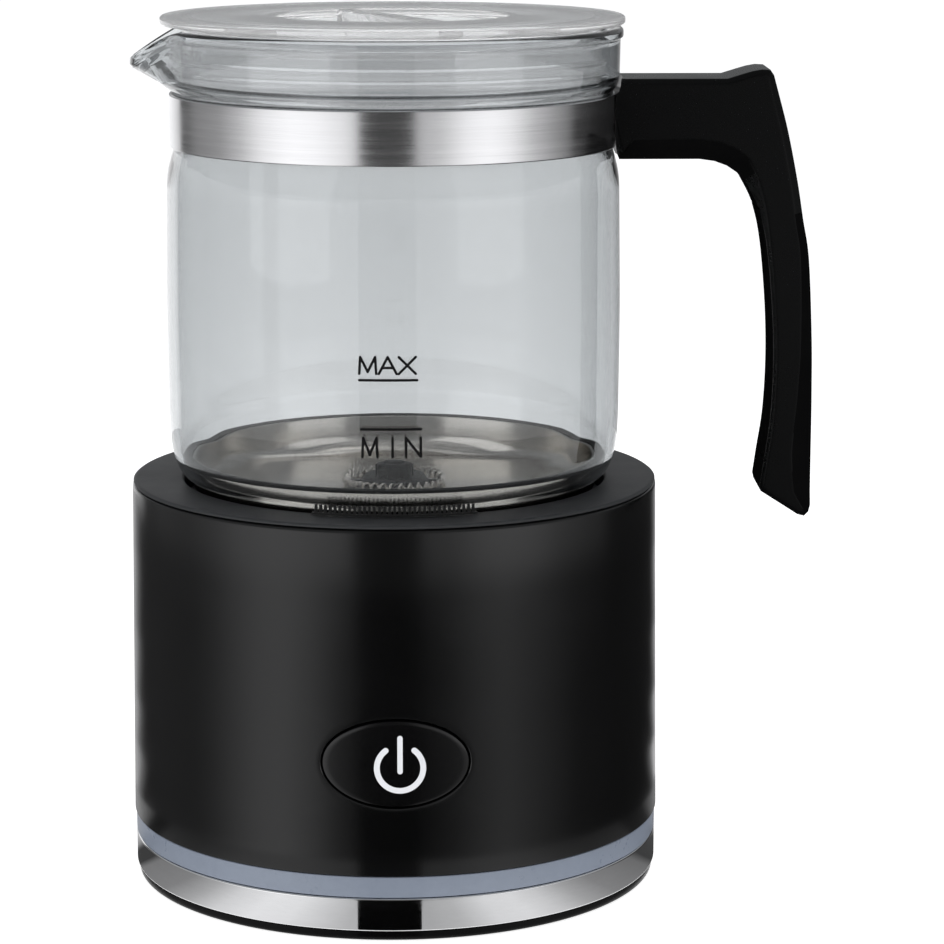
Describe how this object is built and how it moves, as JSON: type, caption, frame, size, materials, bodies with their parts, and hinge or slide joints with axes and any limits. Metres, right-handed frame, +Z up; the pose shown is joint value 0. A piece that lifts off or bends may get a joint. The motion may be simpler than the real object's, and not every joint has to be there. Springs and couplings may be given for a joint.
{
  "type": "milk frother",
  "caption": "Glass jug with steel bottom, spout, handle and clear plug lid on a round induction base with a power button, light ring and magnetic whisk drive.",
  "frame": {"origin": "centre of the base's flat underside, on the axis of the base and the jug", "axes": "+Z up along the jug axis, -Y towards the power button, +X towards the handle, -X towards the spout"},
  "size_m": [0.1677, 0.1308, 0.2121],
  "materials": {
    "satin_black": "satin moulded",
    "deck_grey": "fine matte grain",
    "gloss_black": "gloss moulded",
    "inner_black": "matte moulded",
    "rubber_black": "matte",
    "chrome_trim": "mirror plated",
    "polished_steel": "polished",
    "brushed_band": "brushed round the ring",
    "clear_glass": "clear",
    "clear_plastic": "clear moulded",
    "light_diffuser": "translucent",
    "white_plastic": "satin",
    "copper": "enamelled wire",
    "circuit_board": "solder mask",
    "ferrite": "sintered",
    "aluminium": "satin"
  },
  "bodies": {
    "base": {"base_housing": "satin_black", "top_deck": "deck_grey", "seat_dish": "inner_black", "seat_plate": "inner_black", "ring_carrier": "inner_black", "vent_comb": "inner_black", "light_ring": "light_diffuser", "chrome_ring": "chrome_trim", "bottom_plate": "inner_black", "cord_inlet": "rubber_black", "rubber_foot_1": "rubber_black", "rubber_foot_2": "rubber_black", "rubber_foot_3": "rubber_black", "rubber_foot_4": "rubber_black", "base_screw_1": "polished_steel", "base_screw_2": "polished_steel", "base_screw_3": "polished_steel", "base_screw_4": "polished_steel", "led_ring_board": "circuit_board", "control_board": "circuit_board", "heat_sink": "aluminium", "filter_capacitor": "gloss_black", "choke_coil": "copper", "button_guide": "inner_black", "switch_board": "circuit_board", "tact_switch": "inner_black", "drive_motor": "aluminium", "motor_bracket": "polished_steel", "coil_carrier": "inner_black", "induction_coil": "copper", "temperature_sensor": "white_plastic", "ferrite_bar_1": "ferrite", "ferrite_bar_2": "ferrite", "ferrite_bar_3": "ferrite", "ferrite_bar_4": "ferrite"},
    "rotor": {"motor_shaft": "polished_steel", "magnet_carrier": "inner_black", "drive_magnet_1": "ferrite", "drive_magnet_2": "ferrite"},
    "button": {"power_button": "gloss_black", "icon_light_guide": "white_plastic", "switch_plunger": "white_plastic"},
    "jug": {"jug_glass": "clear_glass", "heater_cup": "polished_steel", "jug_seal": "rubber_black", "steel_band": "brushed_band", "band_bracket": "polished_steel", "handle_shell": "satin_black", "handle_liner": "gloss_black", "whisk_pin": "polished_steel", "handle_screw_1": "polished_steel", "handle_screw_2": "polished_steel"},
    "whisk": {"whisk_hub": "inner_black", "whisk_coil": "polished_steel"},
    "lid": {"lid_cover": "clear_plastic", "lid_seal": "clear_plastic"}
  },
  "joints": [
    {"name": "jug_lift", "type": "slide", "parent": "base", "child": "jug", "axis": [0, 0, 1], "range_m": [0, 0.06]},
    {"name": "lid_lift", "type": "slide", "parent": "jug", "child": "lid", "axis": [0, 0, 1], "range_m": [0, 0.03]},
    {"name": "drive_spin", "type": "hinge", "parent": "base", "child": "rotor", "pos_m": [0, 0, 0.088], "axis": [0, 0, 1], "continuous": true},
    {"name": "whisk_spin", "type": "hinge", "parent": "jug", "child": "whisk", "pos_m": [0, 0, 0.1], "axis": [0, 0, 1], "continuous": true},
    {"name": "button_press", "type": "slide", "parent": "base", "child": "button", "axis": [0, 1, 0], "range_m": [0, 0.001], "stiffness_N_per_m": 600}
  ],
  "couplings": [
    {"joint": "whisk_spin", "follows": "drive_spin", "ratio": 1}
  ]
}
